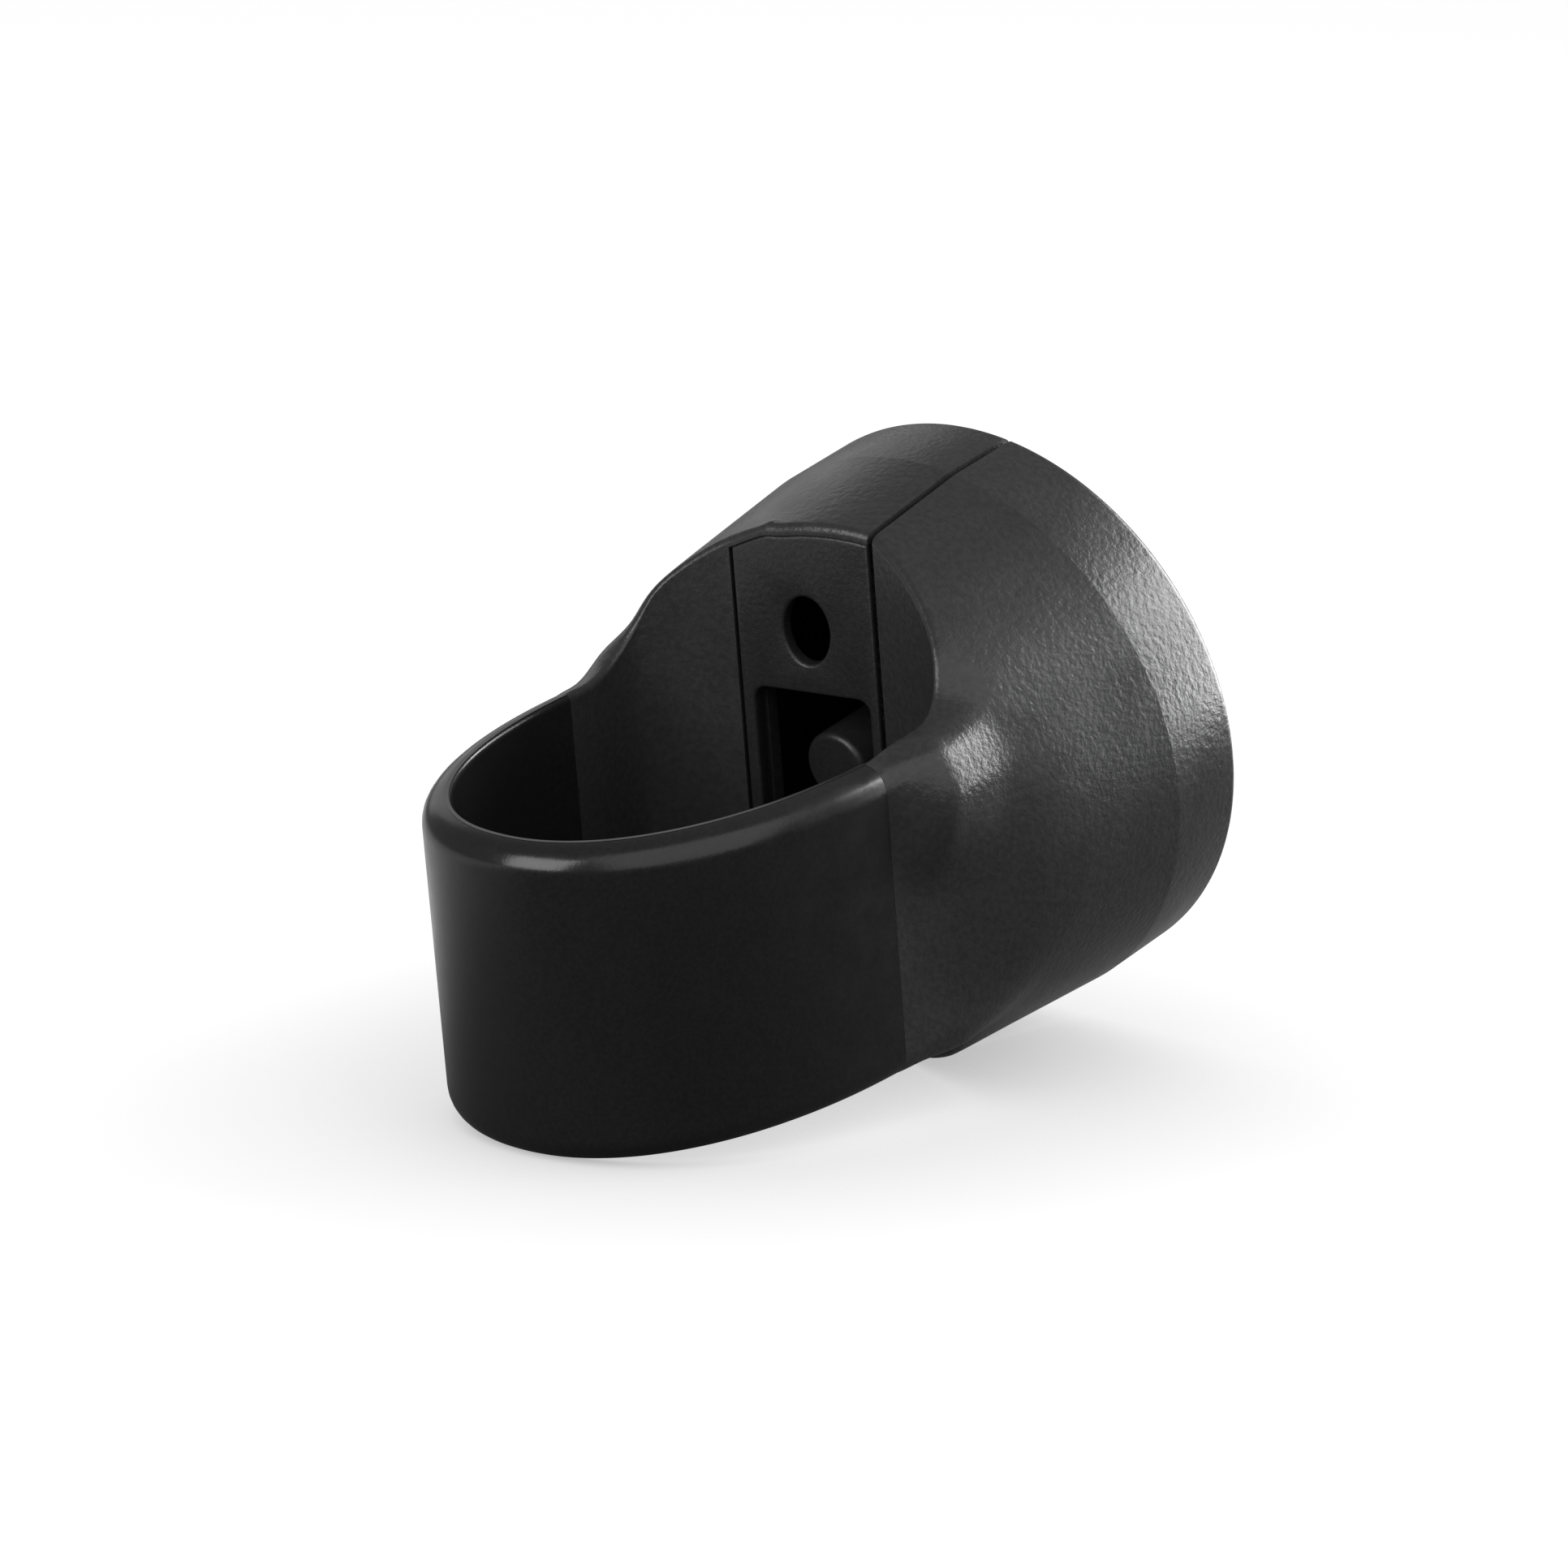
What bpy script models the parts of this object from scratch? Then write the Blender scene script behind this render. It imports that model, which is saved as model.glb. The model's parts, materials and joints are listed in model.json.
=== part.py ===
"""Castanets: two hollow cups, left and right, on one springy finger loop. Metres, +Z up.

The pieces are modelled in the loop's own frame: +X from the loop to the head, +Y to the left, +Z along
the finger hole, with the origin under the centre of the head's rim, on the loop's middle plane. The root
empty then tilts everything until the loop's far end and the head both touch the ground.
"""
import math

import bmesh
import bpy
from mathutils import Matrix, Vector

MM = 0.001

# Head: the two cups together
HEAD_RADIUS = 17.0 * MM
RIM_ROUND = 0.6 * MM
BAND_LENGTH = 5.0 * MM                # straight band behind the rim
TAPER = math.radians(5.2)             # half angle of the cone behind the band
HEAD_LIFT = 2.95 * MM                 # rim centre above the loop's middle plane
SHELL_WALL = 1.2 * MM
FRONT_WALL = 1.2 * MM
SEAM_PLACE = -3.15 * MM               # plane between the cups, to the right of the middle
SEAM_GAP = 0.4 * MM

# Finger loop: the inside of the hole, and the strap round it
LOOP_WIDTH = 21.3 * MM
LOOP_HEIGHT = 18.6 * MM
WIDEST_PLACE = 24.5 * MM              # rim plane to the widest place of the hole
BEND_LENGTH = 18.05 * MM              # from there to the far end of the hole
BEND_POWER = 2.17                     # 2 is an ellipse, more is squarer
STRAP_WALL = 1.8 * MM
STRAP_ROUND = 1.6 * MM                # outer edges of the strap and the arms
STRAP_PLACE = 24.9 * MM               # rim plane to the line where the strap meets the arms
ARM_SPREAD = 0.2                      # how much the arms widen for each unit towards the head
CREST_END = 23.1 * MM                 # rim plane to where the arms' upper and lower edges start to swell
CREST_START = 16.6 * MM               # and to where they have run into the cone
SIDE_END = 21.0 * MM                  # the same for the arms' outer sides
SIDE_START = 12.0 * MM
CREST_ANGLE = math.radians(40)        # from the side to the edges, seen from the head's axis
LEFT_ARM_REACH = 4.4 * MM             # how long the hole's left side keeps its direction
LEFT_CORNER_REACH = 7.4 * MM          # how long its left corner keeps that of its end
LEFT_CORNER_YAW = math.radians(18.6)
RIGHT_ARM_REACH = 5.7 * MM
RIGHT_CORNER_REACH = 11.5 * MM
RIGHT_CORNER_YAW = math.radians(21.4)

# Inner wall: the flat end of the finger hole, between the loop and the cups
WALL_PLACE = 14.49 * MM               # rim plane to the wall, on the middle plane
WALL_YAW = math.radians(9.05)
WALL_LEFT = 6.25 * MM                 # along the wall from the middle plane to its left edge
WALL_DEPTH = 2.3 * MM
PLATE_WALL = 1.0 * MM
PLATE_LEDGE = 1.0 * MM                # what the plate rests on, round its rebate
LIP_WALL = 0.6 * MM                   # skin of the cup above and below the plate

# Openings in the plate, and the post behind the window
HOLE_WIDTH = 3.0 * MM
HOLE_HEIGHT = 4.1 * MM
HOLE_LIFT = 11.45 * MM
WINDOW_WIDTH = 7.6 * MM
WINDOW_TOP = 7.65 * MM
WINDOW_ROUND = 0.8 * MM
OPENING_PLACE = 1.5 * MM              # along the wall from the middle plane to both openings
POST_RADIUS = 2.2 * MM
POST_LIFT = 2.35 * MM
POST_RECESS = 1.7 * MM                # end of the post behind the face of the wall
POST_ROUND = 0.4 * MM
SOCKET_WALL = 0.9 * MM
SOCKET_DEPTH = 3.0 * MM

FIT_GAP = 0.3 * MM                    # between pieces that touch
HINGE_INSET = 4.5 * MM                # centre of the strap's bend, inside the far end of the hole
CUT_MARGIN = 5.0 * MM                 # how far cutters run past what they cut

SECTION_STEPS = 142                   # no multiple of four, so that the head lies on a flat, not a corner
FAIRING_STEPS = 20
BEND_STEPS = 20
STRAP_STEPS = 47                      # odd, so that the loop's far end lies on a flat too
CORNER_STEPS = 16
WALL_STEPS = 20
OVAL_STEPS = 32
BAR_STEPS = 48
ROUND_STEPS = 5


def clear_scene():
    for obj in list(bpy.data.objects):
        bpy.data.objects.remove(obj, do_unlink=True)


def new_collection(name):
    collection = bpy.data.collections.new(name)
    bpy.context.scene.collection.children.link(collection)
    return collection


def plastic(name, grey, roughness):
    material = bpy.data.materials.new(name)
    material.use_nodes = True
    shader = material.node_tree.nodes["Principled BSDF"]
    shader.inputs["Base Color"].default_value = (grey, grey, grey, 1.0)
    shader.inputs["Roughness"].default_value = roughness
    shader.inputs["Metallic"].default_value = 0.0
    return material


def add_object(name, mesh, collection):
    obj = bpy.data.objects.new(name, mesh)
    collection.objects.link(obj)
    return obj


def evaluated_mesh(obj):
    """The mesh of an object with its modifiers, or of a filled curve."""
    graph = bpy.context.evaluated_depsgraph_get()
    return bpy.data.meshes.new_from_object(obj.evaluated_get(graph))


def loft(name, rings, collection):
    """A closed solid through rings of equally many points, capped at both ends."""
    bm = bmesh.new()
    loops = [[bm.verts.new(point) for point in ring] for ring in rings]
    count = len(rings[0])
    for first, second in zip(loops, loops[1:]):
        for i in range(count):
            j = (i + 1) % count
            bm.faces.new((first[i], first[j], second[j], second[i]))
    bm.faces.new(loops[0])
    bm.faces.new(loops[-1])
    bmesh.ops.recalc_face_normals(bm, faces=bm.faces)
    mesh = bpy.data.meshes.new(name)
    bm.to_mesh(mesh)
    bm.free()
    return add_object(name, mesh, collection)


def flat_solid(name, outlines, thickness, placement, collection):
    """Closed flat outlines, holes included, as one plate in the middle of placement's XY plane."""
    curve = bpy.data.curves.new(name + "_outline", "CURVE")
    curve.dimensions = "2D"
    curve.fill_mode = "BOTH"
    curve.extrude = thickness / 2
    for outline in outlines:
        spline = curve.splines.new("POLY")
        spline.points.add(len(outline) - 1)
        for point, (u, v) in zip(spline.points, outline):
            point.co = (u, v, 0.0, 1.0)
        spline.use_cyclic_u = True
    drawing = add_object(name + "_outline", curve, collection)
    bpy.context.view_layer.update()
    mesh = evaluated_mesh(drawing)
    bpy.data.objects.remove(drawing)
    bm = bmesh.new()
    bm.from_mesh(mesh)
    bmesh.ops.remove_doubles(bm, verts=bm.verts, dist=0.001 * MM)
    bmesh.ops.transform(bm, matrix=placement, verts=bm.verts)
    bmesh.ops.recalc_face_normals(bm, faces=bm.faces)
    bm.to_mesh(mesh)
    bm.free()
    return add_object(name, mesh, collection)


def round_bar(name, radius, length, placement, collection):
    """A cylinder along placement's Z axis, from its origin."""
    mesh = bpy.data.meshes.new(name)
    bm = bmesh.new()
    bmesh.ops.create_cone(bm, cap_ends=True, segments=BAR_STEPS, radius1=radius, radius2=radius, depth=length)
    bmesh.ops.transform(bm, matrix=placement @ Matrix.Translation((0, 0, length / 2)), verts=bm.verts)
    bm.to_mesh(mesh)
    bm.free()
    return add_object(name, mesh, collection)


def box(name, low, high, collection):
    mesh = bpy.data.meshes.new(name)
    bm = bmesh.new()
    bmesh.ops.create_cube(bm, size=1.0)
    low, high = Vector(low), Vector(high)
    scale = Matrix.Diagonal((*(high - low), 1.0))
    bmesh.ops.transform(bm, matrix=Matrix.Translation((low + high) / 2) @ scale, verts=bm.verts)
    bm.to_mesh(mesh)
    bm.free()
    return add_object(name, mesh, collection)


def cut(obj, cutter):
    modifier = obj.modifiers.new("cut " + cutter.name, "BOOLEAN")
    modifier.operation = "DIFFERENCE"
    modifier.solver = "EXACT"
    modifier.object = cutter
    cutter.hide_render = True
    cutter.display_type = "WIRE"


# The head's axis and its cone

def head_frame(along=0.0):
    """Z along the head's axis towards the front, X up, at a distance along it from the rim centre."""
    axis = Vector((math.cos(TAPER), 0, math.sin(TAPER)))
    side = Vector((0, 1, 0))
    frame = Matrix((side.cross(axis), side, axis)).transposed().to_4x4()
    frame.translation = Vector((0, 0, HEAD_LIFT)) + axis * along
    return frame


def cone_radius(along):
    """Radius of the band and the cone. The axis rises by the taper, so the cone's underside is level."""
    return HEAD_RADIUS - max(0.0, -along - BAND_LENGTH) * math.tan(TAPER)


def skin_height(x, y, inset, side):
    """Height of the cone's upper (side 1) or lower (side -1) skin over a point of the plan."""
    height = 0.0
    for _ in range(30):
        along = x * math.cos(TAPER) + (height - HEAD_LIFT) * math.sin(TAPER)
        reach = math.sqrt(max(0.0, (cone_radius(along) - inset) ** 2 - y * y))
        height = HEAD_LIFT + (side * reach + x * math.sin(TAPER)) / math.cos(TAPER)
    return height


# The finger hole's outline in plan

def bend_point(angle):
    """A point of the hole's round end: angle 0 is the widest place on the left, pi that on the right."""
    side = math.copysign(1.0, math.cos(angle))
    power = 2 / BEND_POWER
    x = -WIDEST_PLACE - BEND_LENGTH * abs(math.sin(angle)) ** power
    y = side * LOOP_WIDTH / 2 * abs(math.cos(angle)) ** power
    return Vector((x, y))


def wall_direction():
    return Vector((-math.sin(WALL_YAW), math.cos(WALL_YAW)))


def wall_point(along):
    """A point of the wall's face in plan, measured along it from the middle plane to the left."""
    return Vector((-WALL_PLACE, 0)) + wall_direction() * along


def corner_points(start, end, arm_reach, corner_reach, yaw):
    """A side and corner of the hole, from its widest place to the inner wall, as one cubic curve."""
    side = math.copysign(1.0, start.y)
    first = start + Vector((arm_reach, 0))
    second = end + Vector((-math.sin(yaw), side * math.cos(yaw))) * corner_reach
    points = []
    for i in range(1, CORNER_STEPS + 1):
        t = i / CORNER_STEPS
        u = 1 - t
        points.append(start * u ** 3 + first * 3 * u * u * t + second * 3 * u * t * t + end * t ** 3)
    return points


def hole_outline():
    bend = [bend_point(math.pi * i / (2 * BEND_STEPS)) for i in range(2 * BEND_STEPS + 1)]
    seam = wall_point(SEAM_PLACE / wall_direction().y)
    right = corner_points(bend[-1], seam, RIGHT_ARM_REACH, RIGHT_CORNER_REACH, RIGHT_CORNER_YAW)
    left_edge = wall_point(WALL_LEFT)
    left = corner_points(bend[0], left_edge, LEFT_ARM_REACH, LEFT_CORNER_REACH, LEFT_CORNER_YAW)
    return bend + right + left[::-1]


def grown(outline, distance):
    """A convex outline, moved outwards. It runs anticlockwise."""
    points = []
    for i, point in enumerate(outline):
        tangent = outline[(i + 1) % len(outline)] - outline[i - 1]
        points.append(point + Vector((tangent.y, -tangent.x)).normalized() * distance)
    return points


# The solid that both cups are cut from

def block_reach(angle, half_width, half_height, centre_lift):
    """Distance from the head's axis to the rounded block of the two arms, at an angle from straight up."""
    across, up = abs(math.sin(angle)), abs(math.cos(angle))
    height = half_height - math.copysign(centre_lift, math.cos(angle))
    reach = min(half_width / max(across, 1e-9), height / max(up, 1e-9))
    corner = Vector((half_width - STRAP_ROUND, height - STRAP_ROUND))
    if reach * across > corner.x and reach * up > corner.y:
        middle = across * corner.x + up * corner.y
        reach = middle + math.sqrt(middle ** 2 - corner.length_squared + STRAP_ROUND ** 2)
    return reach


def ring(along, pitch, radius_at):
    """Points round the head's axis, in a plane pitched against upright."""
    centre = head_frame(along).translation
    up = Vector((-math.sin(pitch), 0, math.cos(pitch)))
    points = []
    for i in range(SECTION_STEPS):
        angle = 2 * math.pi * i / SECTION_STEPS
        direction = Vector((0, 1, 0)) * math.sin(angle) + up * math.cos(angle)
        points.append(centre + direction * radius_at(angle))
    return points


def ease(share):
    """A smooth step from 0 to 1, for shares from 0 to 1."""
    share = min(1.0, max(0.0, share))
    return share * share * (3 - 2 * share)


def cone_share(place, angle):
    """How far the arms have run into the cone, from 0 to 1: later on their sides than on their edges."""
    above_side = abs(math.pi / 2 - abs(math.pi - angle))
    side = ease(1 - above_side / CREST_ANGLE)
    end = CREST_END + (SIDE_END - CREST_END) * side
    start = CREST_START + (SIDE_START - CREST_START) * side
    return ease((end - place) / (end - start))


def fairing_ring(place):
    """A section at a distance behind the rim, between the block of the arms and the cone."""
    along = -place / math.cos(TAPER)
    lift = head_frame(along).translation.z
    half_width = LOOP_WIDTH / 2 + STRAP_WALL + ARM_SPREAD * (STRAP_PLACE - place)

    def radius_at(angle):
        block = block_reach(angle, half_width, LOOP_HEIGHT / 2, lift)
        return block + (cone_radius(along) - block) * cone_share(place, angle)

    pitch = TAPER * ease((STRAP_PLACE - place) / (STRAP_PLACE - SIDE_START))
    return ring(along, pitch, radius_at)


def head_solid(name, collection):
    rings = []
    for i in range(ROUND_STEPS + 1):
        angle = math.pi / 2 * (1 - i / ROUND_STEPS)
        radius = HEAD_RADIUS - RIM_ROUND * (1 - math.cos(angle))
        rings.append(ring(RIM_ROUND * math.sin(angle), TAPER, lambda _, r=radius: r))
    rings.append(ring(-BAND_LENGTH, TAPER, lambda _: HEAD_RADIUS))
    for i in range(FAIRING_STEPS + 1):
        rings.append(fairing_ring(SIDE_START + (STRAP_PLACE - SIDE_START) * i / FAIRING_STEPS))
    return loft(name, rings, collection)


# The cutters

def loop_cutter(name, growth, collection):
    """The finger hole, right through and taller than the head."""
    height = 2 * (HEAD_RADIUS + HEAD_LIFT + CUT_MARGIN)
    return flat_solid(name, [grown(hole_outline(), growth)], height, Matrix.Identity(4), collection)


def post_frame(along):
    """The post's axis: parallel to the head's, through the middle of the plate's openings."""
    side = wall_point(OPENING_PLACE).y
    end = Vector((-WALL_PLACE, side, POST_LIFT))
    offset = head_frame().inverted() @ end
    return head_frame(along) @ Matrix.Translation((offset.x, offset.y, 0))


def front_inside():
    return RIM_ROUND - FRONT_WALL


def cup_hollow(collection):
    """The inside of both cups, less the wall to the finger hole and the post's socket."""
    back = -CREST_START + 2 * SHELL_WALL
    rings = [
        ring(along, TAPER, lambda _, r=cone_radius(along) - SHELL_WALL: r)
        for along in (front_inside(), -BAND_LENGTH, back)
    ]
    hollow = loft("cup_hollow", rings, collection)
    cut(hollow, loop_cutter("loop_and_wall", WALL_DEPTH, collection))
    bore = POST_RADIUS + FIT_GAP
    length = SOCKET_DEPTH + FRONT_WALL / 2
    foot = post_frame(front_inside() - SOCKET_DEPTH)
    socket = round_bar("socket", bore + SOCKET_WALL, length, foot, collection)
    long_bore = length + 2 * CUT_MARGIN
    drill = post_frame(front_inside() - SOCKET_DEPTH - CUT_MARGIN)
    cut(socket, round_bar("socket_bore", bore, long_bore, drill, collection))
    cut(hollow, socket)
    return hollow


def wall_frame(depth):
    """X along the wall to the left, Y up, Z into the head, with the origin behind the face by depth."""
    along = wall_direction().to_3d()
    inwards = along.cross(Vector((0, 0, 1)))
    frame = Matrix((along, (0, 0, 1), inwards)).transposed().to_4x4()
    frame.translation = wall_point(0).to_3d() + inwards * depth
    return frame


def wall_outline(right, left, inset):
    """The part of the wall between two upright edges, under the cups' skin."""
    places = [right + (left - right) * i / WALL_STEPS for i in range(WALL_STEPS + 1)]
    top = [(u, skin_height(*wall_point(u), inset, 1)) for u in places]
    bottom = [(u, skin_height(*wall_point(u), inset, -1)) for u in places]
    return bottom + top[::-1]


def plate_right():
    """Along the wall from the middle plane to the left cup's side of the seam."""
    return (SEAM_PLACE + SEAM_GAP / 2) / wall_direction().y


def oval(width, height, lift):
    angles = [2 * math.pi * i / OVAL_STEPS for i in range(OVAL_STEPS)]
    return [(OPENING_PLACE + width / 2 * math.cos(a), lift + height / 2 * math.sin(a)) for a in angles]


def window_outline():
    """A round-cornered window, as far below the post as above it."""
    points = []
    half = Vector((WINDOW_WIDTH / 2 - WINDOW_ROUND, WINDOW_TOP - POST_LIFT - WINDOW_ROUND))
    for quarter, (x, y) in enumerate(((1, 1), (-1, 1), (-1, -1), (1, -1))):
        for i in range(ROUND_STEPS + 1):
            angle = math.pi / 2 * (quarter + i / ROUND_STEPS)
            u = OPENING_PLACE + x * half.x + WINDOW_ROUND * math.cos(angle)
            points.append((u, POST_LIFT + y * half.y + WINDOW_ROUND * math.sin(angle)))
    return points


# The pieces

def make_cup(name, seam_side, hollow, collection, cutters):
    """One cup: the head solid without the finger hole, the hollow and the other side of the seam."""
    cup = head_solid(name, collection)
    cut(cup, loop_cutter(name + "_loop", 0.0, cutters))
    cut(cup, hollow)
    reach = 2 * (HEAD_RADIUS + STRAP_PLACE)
    edge = SEAM_PLACE + seam_side * SEAM_GAP / 2
    y_range = sorted((edge, edge - seam_side * reach))
    cut(cup, box(name + "_other_side", (-reach, y_range[0], -reach), (reach, y_range[1], reach), cutters))
    return cup


def make_left_shell(hollow, collection, cutters):
    shell = make_cup("left_shell", 1, hollow, collection, cutters)
    right = plate_right() - CUT_MARGIN
    rebate_depth = PLATE_WALL + FIT_GAP
    rebate = flat_solid(
        "plate_rebate",
        [wall_outline(right, WALL_LEFT, LIP_WALL)],
        rebate_depth + CUT_MARGIN,
        wall_frame((rebate_depth - CUT_MARGIN) / 2),
        cutters,
    )
    opening = flat_solid(
        "plate_opening",
        [wall_outline(right, WALL_LEFT - PLATE_LEDGE, SHELL_WALL + PLATE_LEDGE)],
        WALL_DEPTH + 2 * CUT_MARGIN,
        wall_frame(WALL_DEPTH / 2),
        cutters,
    )
    cut(shell, rebate)
    cut(shell, opening)
    return shell


def make_inner_wall(collection):
    edge = wall_outline(plate_right(), WALL_LEFT - FIT_GAP, LIP_WALL + FIT_GAP)
    outlines = [edge, oval(HOLE_WIDTH, HOLE_HEIGHT, HOLE_LIFT), window_outline()]
    return flat_solid("inner_wall", outlines, PLATE_WALL, wall_frame(PLATE_WALL / 2), collection)


def make_wall_post(collection):
    start = head_frame().inverted() @ (wall_frame(POST_RECESS) @ Vector((OPENING_PLACE, POST_LIFT, 0)))
    length = front_inside() - FIT_GAP - start.z
    post = round_bar("wall_post", POST_RADIUS, length, post_frame(start.z), collection)
    bevel = post.modifiers.new("rounded ends", "BEVEL")
    bevel.width = POST_ROUND
    bevel.segments = 3
    return post


def make_finger_strap(collection):
    """The band swept round the hole's end: flat inside, with rounded outer edges."""
    half = LOOP_HEIGHT / 2
    centre = Vector((STRAP_WALL - STRAP_ROUND, half - STRAP_ROUND))
    quarter = [math.pi / 2 * i / ROUND_STEPS for i in range(ROUND_STEPS + 1)]
    outer = [(centre.x + STRAP_ROUND * math.sin(a), centre.y + STRAP_ROUND * math.cos(a)) for a in quarter]
    profile = [(0, -half), (0, half)] + outer + [(n, -z) for n, z in outer[::-1]]
    start = math.asin(((STRAP_PLACE + FIT_GAP - WIDEST_PLACE) / BEND_LENGTH) ** (BEND_POWER / 2))
    angles = [start + (math.pi - 2 * start) * i / STRAP_STEPS for i in range(STRAP_STEPS + 1)]
    nudge = 0.01
    rings = []
    for angle in angles:
        place = bend_point(angle)
        tangent = bend_point(angle + nudge) - bend_point(angle - nudge)
        outwards = Vector((tangent.y, -tangent.x)).normalized()
        rings.append([(*(place + outwards * n), z) for n, z in profile])
    return loft("finger_strap", rings, collection)


# Standing on the ground

def lowest(points, tilt):
    return min(point.x * math.sin(tilt) + point.z * math.cos(tilt) for point in points)


def rest_tilt(strap_points, cup_points):
    """The tilt at which the loop's far end and the cups touch the ground together."""
    low, high = 0.0, math.radians(45)
    for _ in range(40):
        tilt = (low + high) / 2
        if lowest(cup_points, tilt) < lowest(strap_points, tilt):
            low = tilt
        else:
            high = tilt
    return low


def placed_points(obj):
    mesh = evaluated_mesh(obj)
    points = [obj.matrix_world @ vertex.co for vertex in mesh.vertices]
    bpy.data.meshes.remove(mesh)
    return points


def stand_on_ground(root, strap, cups):
    strap_points = placed_points(strap)
    cup_points = [point for cup in cups for point in placed_points(cup)]
    turn = Matrix.Rotation(-rest_tilt(strap_points, cup_points), 4, "Y")
    placed = [turn @ point for point in strap_points + cup_points]
    low = Vector([min(point[i] for point in placed) for i in range(3)])
    high = Vector([max(point[i] for point in placed) for i in range(3)])
    root.matrix_world = Matrix.Translation((-(low.x + high.x) / 2, -(low.y + high.y) / 2, -low.z)) @ turn


def main():
    clear_scene()
    pieces = new_collection("castanets")
    cutters = new_collection("cutters")
    hollow = cup_hollow(cutters)
    left = make_left_shell(hollow, pieces, cutters)
    right = make_cup("right_shell", -1, hollow, pieces, cutters)
    strap = make_finger_strap(pieces)
    wall = make_inner_wall(pieces)
    post = make_wall_post(pieces)
    left.data.materials.append(plastic("grained black plastic, left", 0.022, 0.55))
    right.data.materials.append(plastic("grained black plastic, right", 0.022, 0.55))
    strap.data.materials.append(plastic("smooth black rubber", 0.016, 0.45))
    wall.data.materials.append(plastic("grained black plastic, plate", 0.022, 0.6))
    post.data.materials.append(plastic("black plastic, post", 0.02, 0.45))

    root = add_object("root", None, pieces)
    hinge = add_object("clap_hinge", None, pieces)
    hinge.parent = root
    hinge.location.x = -WIDEST_PLACE - BEND_LENGTH + HINGE_INSET
    for piece in (left, strap, wall, post):
        piece.parent = root
    right.parent = hinge
    right.data.transform(Matrix.Translation(-hinge.location))
    for cutter in cutters.objects:
        cutter.parent = root
    bpy.context.view_layer.update()
    stand_on_ground(root, strap, (left, right))
    bpy.context.view_layer.update()


main()
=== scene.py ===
"""Looks of the castanets: grained black cups on a satin finger loop, on a white floor.

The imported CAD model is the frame. Its pieces are rebuilt here with finer faces and rounded lips, in the
loop's own frame: +X to the head, +Y to the left, +Z along the finger hole, with the origin under the centre
of the head's rim.
"""

import json
import math

import bmesh
import bpy
import numpy as np
from mathutils import Matrix, Vector
from mathutils.bvhtree import BVHTree

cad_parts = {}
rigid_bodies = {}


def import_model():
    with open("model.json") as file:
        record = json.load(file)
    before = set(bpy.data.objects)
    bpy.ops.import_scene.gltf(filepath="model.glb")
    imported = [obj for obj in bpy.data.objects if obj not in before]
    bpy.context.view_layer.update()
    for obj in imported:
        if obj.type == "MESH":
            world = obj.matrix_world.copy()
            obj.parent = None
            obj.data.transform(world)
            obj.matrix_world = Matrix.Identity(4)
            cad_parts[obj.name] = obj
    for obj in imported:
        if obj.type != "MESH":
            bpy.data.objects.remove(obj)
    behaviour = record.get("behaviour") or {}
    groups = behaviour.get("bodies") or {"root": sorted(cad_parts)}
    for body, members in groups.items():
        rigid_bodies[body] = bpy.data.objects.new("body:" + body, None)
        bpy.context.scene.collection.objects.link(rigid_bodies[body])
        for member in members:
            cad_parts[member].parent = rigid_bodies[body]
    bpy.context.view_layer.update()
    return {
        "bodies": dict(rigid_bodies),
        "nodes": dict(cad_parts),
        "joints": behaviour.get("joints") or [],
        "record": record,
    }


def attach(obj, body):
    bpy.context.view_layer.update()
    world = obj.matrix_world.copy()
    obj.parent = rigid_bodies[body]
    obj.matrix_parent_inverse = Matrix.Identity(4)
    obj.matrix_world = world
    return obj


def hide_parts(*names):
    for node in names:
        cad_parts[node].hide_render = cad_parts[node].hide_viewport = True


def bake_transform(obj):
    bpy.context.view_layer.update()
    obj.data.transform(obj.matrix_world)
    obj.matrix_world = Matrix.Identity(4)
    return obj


MM = 0.001

# Head: the two cups together
HEAD_RADIUS = 17.0 * MM
RIM_ROUND = 0.6 * MM
BAND_LENGTH = 5.0 * MM
TAPER = math.radians(5.2)
HEAD_LIFT = 2.95 * MM
SHELL_WALL = 1.2 * MM
FRONT_WALL = 1.2 * MM
SEAM_PLACE = -3.15 * MM
SEAM_GAP = 0.4 * MM

# Finger loop and arms
LOOP_WIDTH = 21.3 * MM
LOOP_HEIGHT = 18.6 * MM
WIDEST_PLACE = 24.5 * MM
BEND_LENGTH = 18.05 * MM
BEND_POWER = 2.17
STRAP_WALL = 1.8 * MM
STRAP_ROUND = 1.6 * MM
STRAP_PLACE = 24.9 * MM
HINGE_INSET = 4.5 * MM
ARM_SPREAD = 0.2
CREST_END = 23.1 * MM
CREST_START = 16.6 * MM
SIDE_END = 24.9 * MM
SIDE_START = 12.0 * MM
CREST_ANGLE = math.radians(40)        # from the side to the arms' edges, seen from the head's axis
LEFT_CORNER = (4.4 * MM, 7.4 * MM, math.radians(18.6))       # reach of the arm and of the corner, and its yaw
RIGHT_CORNER = (5.7 * MM, 11.5 * MM, math.radians(21.4))
CREST_WALL = 2.3 * MM                 # the strap's wall goes on round the hole's corners, a little thicker
CREST_ROUND = 1.4 * MM
CREST_BLEND = 0.6 * MM                # softness of the hollow between that wall and the cone
CORNER_TAIL = 0.3                     # how far that wall reaches back round the bend, in radians
CREST_SIDE = 0.2                      # and the least sine of its angle from the top
CREST_SLOPE = 1.15                    # how steeply its top leans outwards in the end, as the cone does
LEAN_END = 20.0 * MM                  # rim plane to where it starts to lean
LEAN_START = 17.6 * MM                # and to where it leans so far
CONE_END = 20.5 * MM                  # rim plane to where the cone starts behind that wall
CONE_START = 17.5 * MM                # and to where it is whole
CONE_ANGLE = math.radians(65)
SHOULDER_END = 24.9 * MM              # rim plane to where the right arm starts to swell out to its shoulder
SHOULDER_PLACE = 21.8 * MM            # to the shoulder
SHOULDER_START = 16.4 * MM            # and to where it has sunk into the cone
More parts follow.
